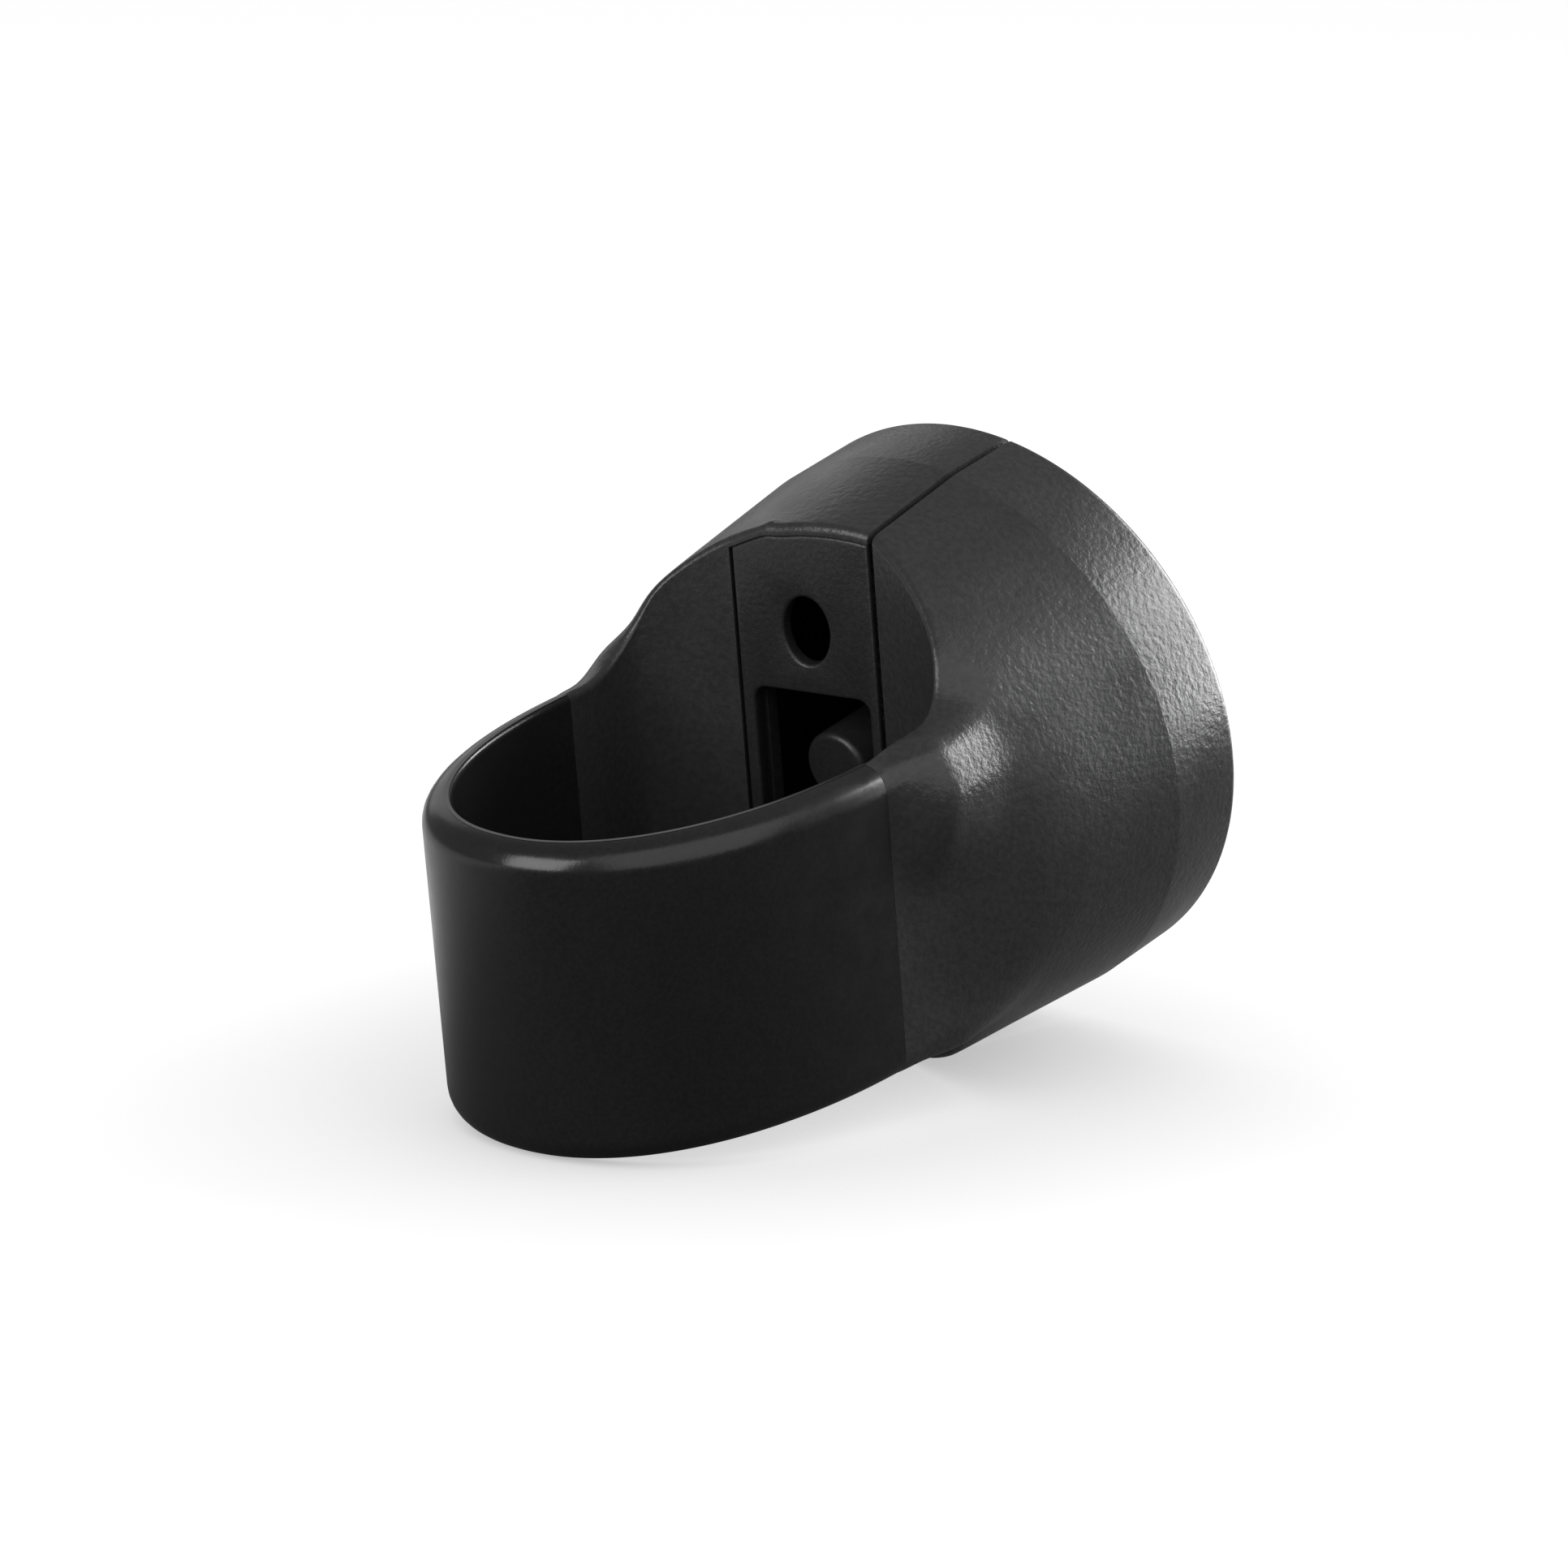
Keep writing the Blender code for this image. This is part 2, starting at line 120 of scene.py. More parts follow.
SHOULDER_PROUD = 1.0 * MM             # how far past the cone it would stand
SHOULDER_CURVE = 1.15                 # 1 would sink it evenly into the cone, and more sinks it sooner
SHOULDER_SHARE = 0.8                  # how much of the way out to that it goes
SHOULDER_ANGLE = math.radians(27)     # from the side up to the shoulder
SHOULDER_TOP = math.radians(16)       # and how far it reaches up and down from there
SHOULDER_FOOT = math.radians(27)
SHOULDER_FADE = 1.5                   # 1 would fade it over all of that reach, and more keeps its middle
SHOULDER_SIDE = math.radians(23)      # below this it is upright
LIP_ROUND = 0.45 * MM
LIP_BREAK = math.radians(12)          # the lip's rounding stops this short of the surface, for a clean cut

# Inner wall, its openings and the post
WALL_PLACE = 14.49 * MM
WALL_YAW = math.radians(9.05)
WALL_LEFT = 6.25 * MM
WALL_DEPTH = 2.3 * MM
PLATE_WALL = 1.0 * MM
PLATE_LEDGE = 1.0 * MM
PLATE_ROUND = 0.22 * MM
LIP_WALL = 0.6 * MM
LIP_FIT = 0.02 * MM                   # the plate all but touches the lip above and below it
GROOVE = 0.14 * MM                    # and keeps this gap at its left edge
HOLE_WIDTH = 3.0 * MM
HOLE_HEIGHT = 4.1 * MM
HOLE_LIFT = 11.45 * MM
WINDOW_WIDTH = 7.6 * MM
WINDOW_TOP = 7.65 * MM
WINDOW_ROUND = 0.8 * MM
OPENING_PLACE = 1.5 * MM
POST_RADIUS = 2.2 * MM
POST_LIFT = 2.35 * MM
POST_RECESS = 1.7 * MM
POST_ROUND = 0.4 * MM
SOCKET_WALL = 0.9 * MM
SOCKET_DEPTH = 3.0 * MM
FIT_GAP = 0.3 * MM
CUT_MARGIN = 5.0 * MM

# Fineness of the faces
SECTION_STEPS = 288
FAIRING_STEPS = 52
CONE_STEPS = 14
BEND_STEPS = 48
CORNER_STEPS = 44
WALL_STEPS = 36
ROUND_STEPS = 8
BLEND_TAPS = 6
TURNED_STEPS = 64
OVAL_STEPS = 72
LIP_PASSES = 6
LIP_HALVINGS = 26
SEARCH_RANGE = (1.15 * HEAD_RADIUS, 0.5 * HEAD_RADIUS)       # where rays look for the crest walls
SEARCH_STEP = 0.1 * MM
SEARCH_HALVINGS = 8
NEAR = 0.001 * MM                     # points this near each other count as one
SMOOTH_ANGLE = math.radians(30)

# Finishes: grey, roughness, and the grain's size and depth
CUP_FINISH = (0.034, 0.3, 0.38 * MM, 0.038 * MM)
WALL_FINISH = (0.02, 0.4, 0.3 * MM, 0.03 * MM)
POST_FINISH = (0.02, 0.36, 0.3 * MM, 0.02 * MM)
STRAP_FINISH = (0.014, 0.22, 0.25 * MM, 0.006 * MM)
GLOSS_SPREAD = 0.04                   # the roughness wavers by this
GLOSS_SCALE = 0.12                    # how fine its patches are, where 1 is as fine as the grain
GLOSS_NOISE = (0.3, 0.7)              # the range of the noise that it follows
TINT_NOISE = (0.35, 0.65)             # and that the grey follows, between these shares of itself
TINT_LOW = (0.85, 0.85, 0.87)
TINT_HIGH = (1.12, 1.12, 1.12)

# Studio: lamps by the compass direction and height they shine from, their width and their radiance
LAMP_DISTANCE = 0.4
KEY_LAMP = (-22, 20, 0.3, 11.5)
LEFT_LAMP = (176, 22, 0.28, 4.0)
FRONT_LAMP = (-110, 30, 0.5, 0.85)
BACK_LAMP = (60, 22, 0.22, 0.5)
ROOM_LIGHT = 0.17
FLOOR_RADIUS = 3.0
FLOOR_STEPS = 96
FLOOR_GLOW = 0.96                     # what the camera sees of the open floor besides the light on it
FLOOR_WHITE = 0.08                    # and how much of that light it shows
FLOOR_SHADE = 0.022                   # how near the object the floor's glow is dimmed by ambient occlusion, a painted shadow
FLOOR_LOSS = 0.55                     # and how much of the glow that painted shadow takes away under the object
FLOOR_FRONT = 0.04                    # how much light the black plastic gets back from the floor in front
FLOOR_BACK = 0.65                     # and behind it
FLOOR_COMPASS = 74                    # which way is behind, as for the lamps
FLOOR_FADE = (-0.022, 0.04)           # from where to where it changes, seen from the middle of the floor

# Photograph
IMAGE_SIZE = 1932
FOCAL_PIXELS = 9000
SENSOR = 36.0
CAMERA_RIGHT = (0.6396, -0.7653, -0.0722)       # in the loop's frame
CAMERA_DOWN = (-0.3225, -0.1818, -0.9290)
CAMERA_PLACE = (-18.085, -14.999, 8.882)        # from the centre of the head's rim, in head radii


def add_object(name, mesh):
    obj = bpy.data.objects.new(name, mesh)
    bpy.context.scene.collection.objects.link(obj)
    return obj


def loft(name, rings):
    """A closed solid through rings of equally many points, capped at both ends."""
    bm = bmesh.new()
    loops = [[bm.verts.new(point) for point in ring] for ring in rings]
    count = len(rings[0])
    for first, second in zip(loops, loops[1:]):
        for i in range(count):
            j = (i + 1) % count
            bm.faces.new((first[i], first[j], second[j], second[i]))
    bm.faces.new(loops[0])
    bm.faces.new(loops[-1])
    bmesh.ops.recalc_face_normals(bm, faces=bm.faces)
    mesh = bpy.data.meshes.new(name)
    bm.to_mesh(mesh)
    bm.free()
    return add_object(name, mesh)


def flat_solid(name, outlines, thickness, placement, rounding=0.0):
    """Closed flat outlines, holes included, as one plate in the middle of placement's XY plane."""
    curve = bpy.data.curves.new(name + "_outline", "CURVE")
    curve.dimensions = "2D"
    curve.fill_mode = "BOTH"
    curve.extrude = thickness / 2 - rounding
    curve.bevel_depth = rounding
    curve.offset = -rounding
    curve.bevel_resolution = 3
    for outline in outlines:
        spline = curve.splines.new("POLY")
        spline.points.add(len(outline) - 1)
        for point, (u, v) in zip(spline.points, outline):
            point.co = (u, v, 0.0, 1.0)
        spline.use_cyclic_u = True
    drawing = add_object(name + "_outline", curve)
    bpy.context.view_layer.update()
    graph = bpy.context.evaluated_depsgraph_get()
    mesh = bpy.data.meshes.new_from_object(drawing.evaluated_get(graph))
    bpy.data.objects.remove(drawing)
    bm = bmesh.new()
    bm.from_mesh(mesh)
    bmesh.ops.remove_doubles(bm, verts=bm.verts, dist=NEAR)
    bmesh.ops.transform(bm, matrix=placement, verts=bm.verts)
    bmesh.ops.recalc_face_normals(bm, faces=bm.faces)
    bm.to_mesh(mesh)
    bm.free()
    return add_object(name, mesh)


def box(name, low, high):
    low, high = Vector(low), Vector(high)
    bm = bmesh.new()
    bmesh.ops.create_cube(bm, size=1.0)
    scale = Matrix.Diagonal((*(high - low), 1.0))
    bmesh.ops.transform(bm, matrix=Matrix.Translation((low + high) / 2) @ scale, verts=bm.verts)
    mesh = bpy.data.meshes.new(name)
    bm.to_mesh(mesh)
    bm.free()
    return add_object(name, mesh)


def cut(obj, *cutters):
    """Takes each cutter out of an object, for good, and removes the cutter."""
    for cutter in cutters:
        modifier = obj.modifiers.new(cutter.name, "BOOLEAN")
        modifier.operation = "DIFFERENCE"
        modifier.solver = "EXACT"
        modifier.object = cutter
        bpy.context.view_layer.update()
        graph = bpy.context.evaluated_depsgraph_get()
        mesh = bpy.data.meshes.new_from_object(obj.evaluated_get(graph))
        obj.modifiers.clear()
        obj.data = mesh
        bpy.data.objects.remove(cutter)
    return obj


def ease(share):
    """A smooth step from 0 to 1, for shares from 0 to 1."""
    share = min(1.0, max(0.0, share))
    return share * share * (3 - 2 * share)


# The head's outer surface

def head_frame(along=0.0):
    """Z along the head's axis towards the front, X up, at a distance along it from the rim centre."""
    axis = Vector((math.cos(TAPER), 0, math.sin(TAPER)))
    side = Vector((0, 1, 0))
    frame = Matrix((side.cross(axis), side, axis)).transposed().to_4x4()
    frame.translation = Vector((0, 0, HEAD_LIFT)) + axis * along
    return frame


def cone_radius(along):
    return HEAD_RADIUS - max(0.0, -along - BAND_LENGTH) * math.tan(TAPER)


def block_reach(angle, half_width, half_height, centre_lift):
    """Distance from the head's axis to the rounded block of the two arms, at an angle from straight up."""
    across, up = abs(math.sin(angle)), abs(math.cos(angle))
    height = half_height - math.copysign(centre_lift, math.cos(angle))
    reach = min(half_width / max(across, 1e-9), height / max(up, 1e-9))
    corner = Vector((half_width - STRAP_ROUND, height - STRAP_ROUND))
    if reach * across > corner.x and reach * up > corner.y:
        middle = across * corner.x + up * corner.y
        reach = middle + math.sqrt(middle ** 2 - corner.length_squared + STRAP_ROUND ** 2)
    return reach


def cone_share(place, angle, edge_end, edge_start, edge_angle):
    """How far the arms have run into the cone, from 0 to 1, each in its range on their sides and edges."""
    above_side = abs(math.pi / 2 - abs(math.pi - angle))
    side = ease(1 - above_side / edge_angle)
    end = edge_end + (SIDE_END - edge_end) * side
    start = edge_start + (SIDE_START - edge_start) * side
    return ease((end - place) / (end - start))


def fairing_reach(place, angle, edge_end=CREST_END, edge_start=CREST_START, edge_angle=CREST_ANGLE):
    """Distance from the head's axis to its surface, at a place behind the rim and an angle from the top."""
    lift = HEAD_LIFT - place * math.tan(TAPER)
    half_width = LOOP_WIDTH / 2 + STRAP_WALL + ARM_SPREAD * (STRAP_PLACE - place)
    block = block_reach(angle, half_width, LOOP_HEIGHT / 2, lift)
    share = cone_share(place, angle, edge_end, edge_start, edge_angle)
    return block + (cone_radius(-place / math.cos(TAPER)) - block) * share


def fairing_pitch(place):
    return TAPER * ease((STRAP_PLACE - place) / (STRAP_PLACE - SIDE_START))


def lip_curve_height(x, y, side):
    """Height of the upper (side 1) or lower (side -1) lip over a point of the hole's outline."""
    place, reach = -x, 0.0
    for _ in range(LIP_PASSES):
        low, high = 0.0, 2 * HEAD_RADIUS
        for _ in range(LIP_HALVINGS):
            reach = (low + high) / 2
            if math.hypot(y, reach) < fairing_reach(place, math.atan2(abs(y), side * reach)):
                low = reach
            else:
                high = reach
        place = -x - side * reach * math.sin(fairing_pitch(place))
    return HEAD_LIFT - place * math.tan(TAPER) + side * reach * math.cos(fairing_pitch(place))


class CrestWall:
    """The wall that carries one lip round a corner of the hole: its plan, and the height of its top."""

    def __init__(self, outline, side):
        self.side = side
        self.points = np.array(outline)
        steps = np.gradient(self.points, axis=0)
        length = np.linalg.norm(steps, axis=1)
        self.tangents = steps / length[:, None]
        outwards = np.stack((self.tangents[:, 1], -self.tangents[:, 0]), axis=1)
        self.normals = outwards * np.sign((outwards * self.points)[:, 1:].sum(axis=1))[:, None]
        self.tops = np.array([lip_curve_height(x, y, side) for x, y in outline])
        self.rises = np.gradient(self.tops) / length
        share = np.array([ease((STRAP_PLACE + x) / (STRAP_PLACE - CREST_START)) for x, _ in outline])
        self.walls = STRAP_WALL + (CREST_WALL - STRAP_WALL) * share
        self.rounds = STRAP_ROUND + (CREST_ROUND - STRAP_ROUND) * share
        lean = np.array([ease((LEAN_END + x) / (LEAN_END - LEAN_START)) for x, _ in outline])
        self.leans = CREST_SLOPE * lean

    def holds(self, points):
        """Which points are inside the wall, or over the hole beside it."""
        offsets = points[:, None, :2] - self.points
        nearest = (offsets ** 2).sum(axis=2).argmin(axis=1)
        offset = offsets[np.arange(len(points)), nearest]
        out = (offset * self.normals[nearest]).sum(axis=1)
        top = self.tops[nearest] + self.rises[nearest] * (offset * self.tangents[nearest]).sum(axis=1)
        top -= self.side * self.leans[nearest] * np.maximum(out, 0)
        rounding = self.rounds[nearest]
        past = np.clip(out - self.walls[nearest] + rounding, 0, rounding)
        drop = rounding - np.sqrt(rounding ** 2 - past ** 2)
        under = self.side * (top - points[:, 2]) > drop
        return under & (out < self.walls[nearest]) & (out > -CREST_WALL)


def ray_points(places, angles, reaches):
    """Points at a distance from the head's axis, in the pitched sections at places behind the rim."""
    pitch = np.array([fairing_pitch(place) for place in places])
    up = reaches * np.cos(angles)
    lift = HEAD_LIFT - places * math.tan(TAPER)
    x = -places - np.sin(pitch) * up
    return np.stack((x, reaches * np.sin(angles), lift + np.cos(pitch) * up), axis=1)


def crest_reach(wall, places, angles):
    """Distance from the head's axis to the outside of a crest wall, or 0 where a ray misses it."""
    found = np.zeros(len(places))
    for reach in np.arange(*SEARCH_RANGE, -SEARCH_STEP):
        left = np.flatnonzero(found == 0)
        tries = np.full(len(left), reach)
        hit = left[wall.holds(ray_points(places[left], angles[left], tries))]
        found[hit] = reach
    hit = np.flatnonzero(found)
    low, high = found[hit], found[hit] + SEARCH_STEP
    for _ in range(SEARCH_HALVINGS):
        middle = (low + high) / 2
        inside = wall.holds(ray_points(places[hit], angles[hit], middle))
        low, high = np.where(inside, middle, low), np.where(inside, high, middle)
    found[hit] = low
    return found


def softened(reaches, places):
    """Reaches evened out over a short distance, but not where they meet the strap and the plain cone."""
    taps = np.arange(-BLEND_TAPS, BLEND_TAPS + 1)
    weights = np.exp(-0.5 * (taps * (places[1] - places[0]) / CREST_BLEND) ** 2)
    padded = np.pad(reaches, ((BLEND_TAPS, BLEND_TAPS), (0, 0)), mode="edge")
    along = sum(w * padded[i:i + len(places)] for i, w in enumerate(weights)) / weights.sum()
    arc = 2 * math.pi * HEAD_RADIUS / SECTION_STEPS
    weights = np.exp(-0.5 * (taps * arc / CREST_BLEND) ** 2)
    soft = sum(w * np.roll(along, i - BLEND_TAPS, axis=1) for i, w in enumerate(weights)) / weights.sum()
    share = [ease((STRAP_PLACE - p) / CREST_WALL) * ease((p - SIDE_START) / CREST_WALL) for p in places]
    return reaches + (soft - reaches) * np.array(share)[:, None]


def shoulder_reach(place, angle, reach):
    """The same distance where the right arm swells out past the cone before it sinks into it."""
    above_side = abs(math.pi / 2 - abs(math.pi - angle))
    turn = above_side - SHOULDER_ANGLE
    span = SHOULDER_TOP if turn > 0 else SHOULDER_FOOT
    window = ease(SHOULDER_FADE * (1 - abs(turn) / span))
    swell = ease((SHOULDER_END - place) / (SHOULDER_END - SHOULDER_PLACE))
    rise = min(1.0, max(0.0, (place - SHOULDER_START) / (SHOULDER_PLACE - SHOULDER_START)))
    full = cone_radius(-place / math.cos(TAPER)) + SHOULDER_PROUD * rise ** SHOULDER_CURVE
    full *= min(1.0, math.cos(SHOULDER_SIDE) / math.cos(above_side))
    return reach + SHOULDER_SHARE * max(0.0, full - reach) * swell * window


def fairing_reaches(places, angles):
    """The head's surface behind the plain cone: the cone, the arms and the crest walls round the hole."""
    reaches = [[fairing_reach(p, a, CONE_END, CONE_START, CONE_ANGLE) for a in angles] for p in places]
    reaches = np.array(reaches)
    for column in np.flatnonzero((np.sin(angles) < 0) & (np.cos(angles) > 0)):
        for row, place in enumerate(places):
            reaches[row, column] = shoulder_reach(place, angles[column], reaches[row, column])
    left, right = hole_corners()
    for outline, hand in ((left, 1), (right, -1)):
        for side in (1, -1):
            wall = CrestWall([p for p in outline if p.x > -STRAP_PLACE - CREST_WALL], side)
            columns = np.flatnonzero((np.sin(angles) * hand > CREST_SIDE) & (np.cos(angles) * side > 0))
            grid = np.meshgrid(places, angles[columns], indexing="ij")
            crest = crest_reach(wall, grid[0].ravel(), grid[1].ravel()).reshape(grid[0].shape)
            reaches[:, columns] = np.maximum(reaches[:, columns], crest)
    return softened(reaches, places)


def ring(along, pitch, reaches):
    """Points round the head's axis, in a plane pitched against upright."""
    centre = head_frame(along).translation
    up = Vector((-math.sin(pitch), 0, math.cos(pitch)))
    points = []
    for i, reach in enumerate(reaches):
        angle = 2 * math.pi * i / len(reaches)
        points.append(centre + (Vector((0, 1, 0)) * math.sin(angle) + up * math.cos(angle)) * reach)
    return points


def round_ring(along, radius, steps=SECTION_STEPS):
    return ring(along, TAPER, [radius] * steps)


def head_solid(name):
    rings = []
    for i in range(ROUND_STEPS + 1):
        angle = math.pi / 2 * (1 - i / ROUND_STEPS)
        rings.append(round_ring(RIM_ROUND * math.sin(angle), HEAD_RADIUS - RIM_ROUND * (1 - math.cos(angle))))
    cone_start = -SIDE_START / math.cos(TAPER)
    for i in range(CONE_STEPS):
        along = -BAND_LENGTH + (cone_start + BAND_LENGTH) * i / CONE_STEPS
        rings.append(round_ring(along, cone_radius(along)))
    places = np.linspace(SIDE_START, STRAP_PLACE, FAIRING_STEPS + 1)
    angles = np.arange(SECTION_STEPS) * 2 * math.pi / SECTION_STEPS
    for place, reaches in zip(places, fairing_reaches(places, angles)):
        rings.append(ring(-place / math.cos(TAPER), fairing_pitch(place), reaches))
    return loft(name, rings)


# The finger hole

def bend_point(angle):
    """A point of the hole's round end: angle 0 is the widest place on the left, pi that on the right."""
    side = math.copysign(1.0, math.cos(angle))
    power = 2 / BEND_POWER
    x = -WIDEST_PLACE - BEND_LENGTH * abs(math.sin(angle)) ** power
    y = side * LOOP_WIDTH / 2 * abs(math.cos(angle)) ** power
    return Vector((x, y))


def wall_direction():
    return Vector((-math.sin(WALL_YAW), math.cos(WALL_YAW)))


def wall_point(along):
    return Vector((-WALL_PLACE, 0)) + wall_direction() * along


def wall_right():
    return SEAM_PLACE / wall_direction().y


def corner_points(start, end, arm_reach, corner_reach, yaw):
    """A side and corner of the hole, from its widest place to the inner wall, as one cubic curve."""
    side = math.copysign(1.0, start.y)
    first = start + Vector((arm_reach, 0))
    second = end + Vector((-math.sin(yaw), side * math.cos(yaw))) * corner_reach
    points = []
    for i in range(1, CORNER_STEPS + 1):
        t = i / CORNER_STEPS
        u = 1 - t
        points.append(start * u ** 3 + first * 3 * u * u * t + second * 3 * u * t * t + end * t ** 3)
    return points


def hole_corners():
    """The left and the right side of the hole in plan, each from its round end to the inner wall."""
    left = corner_points(bend_point(0), wall_point(WALL_LEFT), *LEFT_CORNER)
    right = corner_points(bend_point(math.pi), wall_point(wall_right()), *RIGHT_CORNER)
    tail = [CORNER_TAIL * i / 3 for i in (3, 2, 1, 0)]
    left = [bend_point(a) for a in tail] + left
    right = [bend_point(math.pi - a) for a in tail] + right
    return left, right


def hole_outline():
    """The whole outline in plan, anticlockwise from its widest place on the left."""
    bend = [bend_point(math.pi * i / (2 * BEND_STEPS)) for i in range(2 * BEND_STEPS + 1)]
    right = corner_points(bend[-1], wall_point(wall_right()), *RIGHT_CORNER)
    left = corner_points(bend[0], wall_point(WALL_LEFT), *LEFT_CORNER)
    places = [wall_right() + (WALL_LEFT - wall_right()) * i / WALL_STEPS for i in range(1, WALL_STEPS)]
    return bend + right + [wall_point(u) for u in places] + left[::-1]


def outward_normals(outline):
    normals = []
    for i in range(len(outline)):
        tangent = outline[(i + 1) % len(outline)] - outline[i - 1]
        normals.append(Vector((tangent.y, -tangent.x)).normalized())
    return normals


def skin_height(skin, point, side):
    """Height of the head's upper or lower surface over a point of the plan, or of the strap behind it."""
    far = 2 * HEAD_RADIUS
    hit = skin.ray_cast((point.x, point.y, side * far), (0, 0, -side))[0]
    if point.x < -STRAP_PLACE or hit is None:
        return side * LOOP_HEIGHT / 2
    return hit.z


def lip_profile(skin, point, outwards, side):
    """The hole's straight wall, rounded out over its upper or lower lip: distances outwards, and heights."""
    height = skin_height(skin, point, side)
    slope = math.atan2(side * (skin_height(skin, point + outwards * LIP_ROUND, side) - height), LIP_ROUND)
    turn = math.pi / 2 - slope
    radius = LIP_ROUND * math.tan((math.pi - turn) / 2)
    start = height - side * LIP_ROUND
    profile = []
    for i in range(ROUND_STEPS + 1):
        angle = (turn - LIP_BREAK) * i / ROUND_STEPS
        profile.append((radius * (1 - math.cos(angle)), start + side * radius * math.sin(angle)))
    run_out = 3 * LIP_ROUND
    distance, level = profile[-1]
    distance += run_out * math.sin(angle)
    level += side * run_out * math.cos(angle)
    return profile + [(distance, level), (distance, side * 2 * HEAD_RADIUS)]


def loop_cutter(skin):
    """The finger hole with its rounded lips."""
    outline = hole_outline()
    columns = []
    for point, outwards in zip(outline, outward_normals(outline)):
        profile = lip_profile(skin, point, outwards, -1)[::-1] + lip_profile(skin, point, outwards, 1)
        columns.append([(*(point + outwards * distance), level) for distance, level in profile])
    return loft("loop", list(zip(*columns)))


# The inside of the cups

def post_frame(along):
    """The post's axis: parallel to the head's, through the middle of the plate's openings."""
    end = Vector((-WALL_PLACE, wall_point(OPENING_PLACE).y, POST_LIFT))
    offset = head_frame().inverted() @ end
    return head_frame(along) @ Matrix.Translation((offset.x, offset.y, 0))


def turned(name, placement, profile, steps=TURNED_STEPS):
    """A solid turned about placement's Z axis, from radii and places along it."""
    rings = []
    for radius, along in profile:
        angles = [2 * math.pi * i / steps for i in range(steps)]
        circle = [(radius * math.cos(a), radius * math.sin(a), along) for a in angles]
        rings.append([placement @ Vector(point) for point in circle])
    return loft(name, rings)


def front_inside():
    return RIM_ROUND - FRONT_WALL


def cup_hollow():
    """The inside of both cups, less the wall to the finger hole and the post's socket."""
    back = -CREST_START + 2 * SHELL_WALL
    rings = [
        round_ring(along, cone_radius(along) - SHELL_WALL, SECTION_STEPS // 2)
        for along in (front_inside(), -BAND_LENGTH, back)
    ]
    hollow = loft("cup_hollow", rings)
    outline = hole_outline()
    grown = [p + n * WALL_DEPTH for p, n in zip(outline, outward_normals(outline))]
    wall = flat_solid("loop_and_wall", [grown], 4 * HEAD_RADIUS, Matrix.Identity(4))
    bore = POST_RADIUS + FIT_GAP
    length = SOCKET_DEPTH + FRONT_WALL / 2
    foot = post_frame(front_inside() - SOCKET_DEPTH)
    socket = turned("socket", foot, [(bore + SOCKET_WALL, 0), (bore + SOCKET_WALL, length)])
    drill = turned("drill", foot, [(bore, -CUT_MARGIN), (bore, length + CUT_MARGIN)])
    return cut(hollow, wall, cut(socket, drill))


def wall_frame(depth):
    """X along the wall to the left, Y up, Z into the head, with the origin behind the face by depth."""
    along = wall_direction().to_3d()
    inwards = along.cross(Vector((0, 0, 1)))
    frame = Matrix((along, (0, 0, 1), inwards)).transposed().to_4x4()
    frame.translation = wall_point(0).to_3d() + inwards * depth
    return frame


def wall_outline(skin, right, left, inset):
    """The part of the wall between two upright edges, under the cups' skin."""
    places = [right + (left - right) * i / WALL_STEPS for i in range(WALL_STEPS + 1)]
    top = [(u, skin_height(skin, wall_point(u), 1) - inset) for u in places]
    bottom = [(u, skin_height(skin, wall_point(u), -1) + inset) for u in places]
    return bottom + top[::-1]


def plate_right():
    return (SEAM_PLACE + SEAM_GAP / 2) / wall_direction().y


def oval(width, height, lift, steps=OVAL_STEPS):
    angles = [2 * math.pi * i / steps for i in range(steps)]
    return [(OPENING_PLACE + width / 2 * math.cos(a), lift + height / 2 * math.sin(a)) for a in angles]


def window_outline():
    points = []
    half = Vector((WINDOW_WIDTH / 2 - WINDOW_ROUND, WINDOW_TOP - POST_LIFT - WINDOW_ROUND))
    for quarter, (x, y) in enumerate(((1, 1), (-1, 1), (-1, -1), (1, -1))):
        for i in range(ROUND_STEPS + 1):
            angle = math.pi / 2 * (quarter + i / ROUND_STEPS)
            u = OPENING_PLACE + x * half.x + WINDOW_ROUND * math.cos(angle)
            points.append((u, POST_LIFT + y * half.y + WINDOW_ROUND * math.sin(angle)))
    return points


# The pieces

def make_cup(name, seam_side, head, skin):
    """One cup: the head solid without the finger hole, the hollow and the other side of the seam."""
    reach = 2 * (HEAD_RADIUS + STRAP_PLACE)
    edge = SEAM_PLACE + seam_side * SEAM_GAP / 2
    low, high = sorted((edge, edge - seam_side * reach))
    other_side = box("other_side", (-reach, low, -reach), (reach, high, reach))
    return cut(add_object(name, head.data.copy()), loop_cutter(skin), cup_hollow(), other_side)


def make_left_shell(head, skin):
    right = plate_right() - CUT_MARGIN
    depth = PLATE_WALL + FIT_GAP
    rebate = flat_solid(
        "plate_rebate",
        [wall_outline(skin, right, WALL_LEFT, LIP_WALL)],
        depth + CUT_MARGIN,
        wall_frame((depth - CUT_MARGIN) / 2),
    )
    opening = flat_solid(
        "plate_opening",
        [wall_outline(skin, right, WALL_LEFT - PLATE_LEDGE, SHELL_WALL + PLATE_LEDGE)],
        WALL_DEPTH + 2 * CUT_MARGIN,
        wall_frame(WALL_DEPTH / 2),
    )
    return cut(make_cup("left_shell_skin", 1, head, skin), rebate, opening)


def make_plate(skin):
    edge = wall_outline(skin, plate_right(), WALL_LEFT - GROOVE, LIP_WALL + LIP_FIT)
    outlines = [edge, oval(HOLE_WIDTH, HOLE_HEIGHT, HOLE_LIFT), window_outline()]
    return flat_solid("inner_wall_plate", outlines, PLATE_WALL, wall_frame(PLATE_WALL / 2), PLATE_ROUND)


